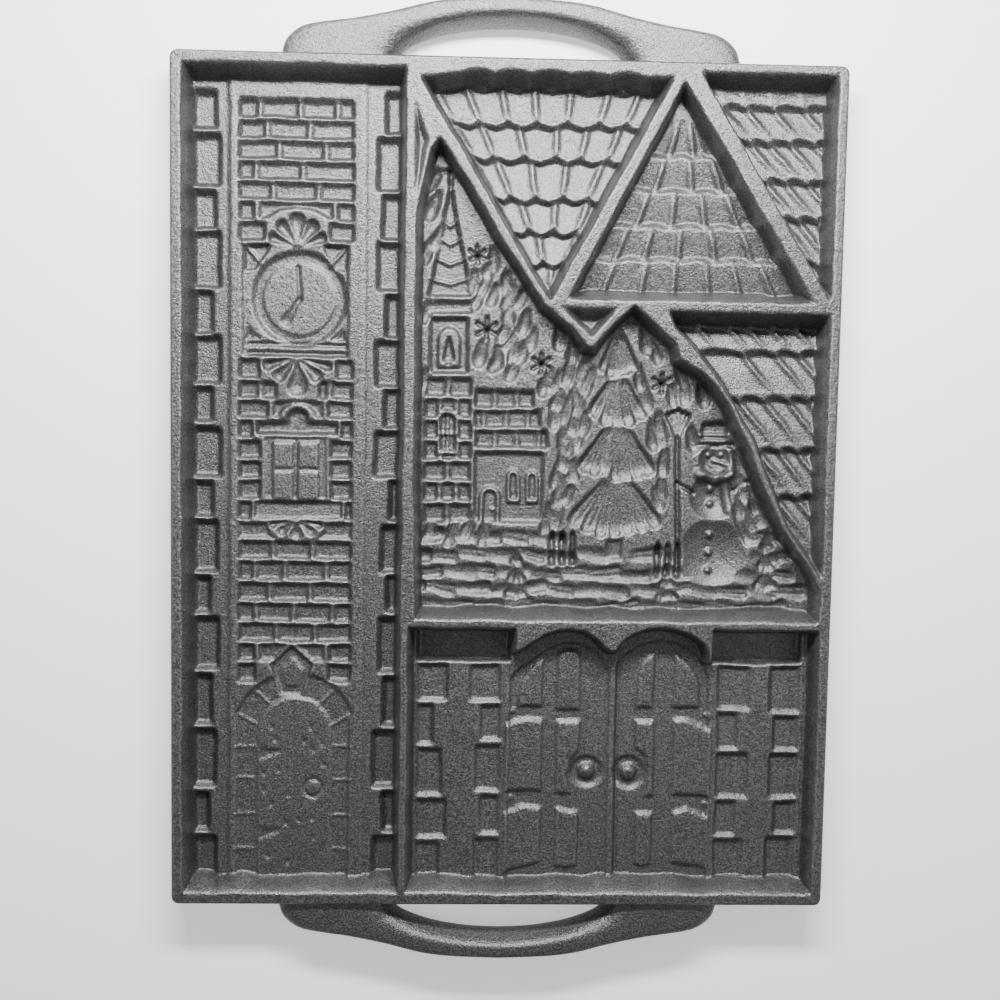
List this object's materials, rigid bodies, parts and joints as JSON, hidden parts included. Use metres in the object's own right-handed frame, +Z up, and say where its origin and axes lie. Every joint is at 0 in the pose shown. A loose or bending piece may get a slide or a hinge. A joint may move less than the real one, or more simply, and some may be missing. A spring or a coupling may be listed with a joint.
{
  "type": "gingerbread mold",
  "caption": "Flat rectangular cast-iron baking mold whose ridges part it into shallow relief compartments for the walls, roofs and tower of a gingerbread house, with a loop handle at each end",
  "frame": {"origin": "Middle of the bounding box in X and Y, on the plane of the flat back, Z = 0", "axes": "+X across the face to the right, +Y along the mold towards the end with the roofs, +Z up out of the relief face"},
  "size_m": [0.254, 0.37, 0.016],
  "materials": {
    "iron": "sand-cast, dry and bare"
  },
  "bodies": {
    "root": {"bottom_handle": "iron", "bottom_rim": "iron", "clock_panel": "iron", "eaves_ridge": "iron", "gable_lower_ridge": "iron", "gable_upper_ridge": "iron", "large_roof_tiles": "iron", "left_arch_ridge": "iron", "left_corner_stones": "iron", "left_door_leaf": "iron", "left_lintel_ridge": "iron", "left_rim": "iron", "left_stone_wall": "iron", "lower_corner_tiles": "iron", "middle_brickwork": "iron", "pocket_ridge": "iron", "portal_panel": "iron", "right_arch_ridge": "iron", "right_corner_stones": "iron", "right_door_leaf": "iron", "right_lintel_ridge": "iron", "right_rim": "iron", "right_stone_wall": "iron", "roof_left_ridge": "iron", "roof_right_ridge": "iron", "scene_chapel": "iron", "scene_fir_tree": "iron", "scene_snowman": "iron", "spire_right_ridge": "iron", "spire_roof_tiles": "iron", "top_handle": "iron", "top_rim": "iron", "tower_lower_divider": "iron", "tower_upper_divider": "iron", "upper_brickwork": "iron", "upper_corner_tiles": "iron", "window_panel": "iron"}
  },
  "joints": []
}
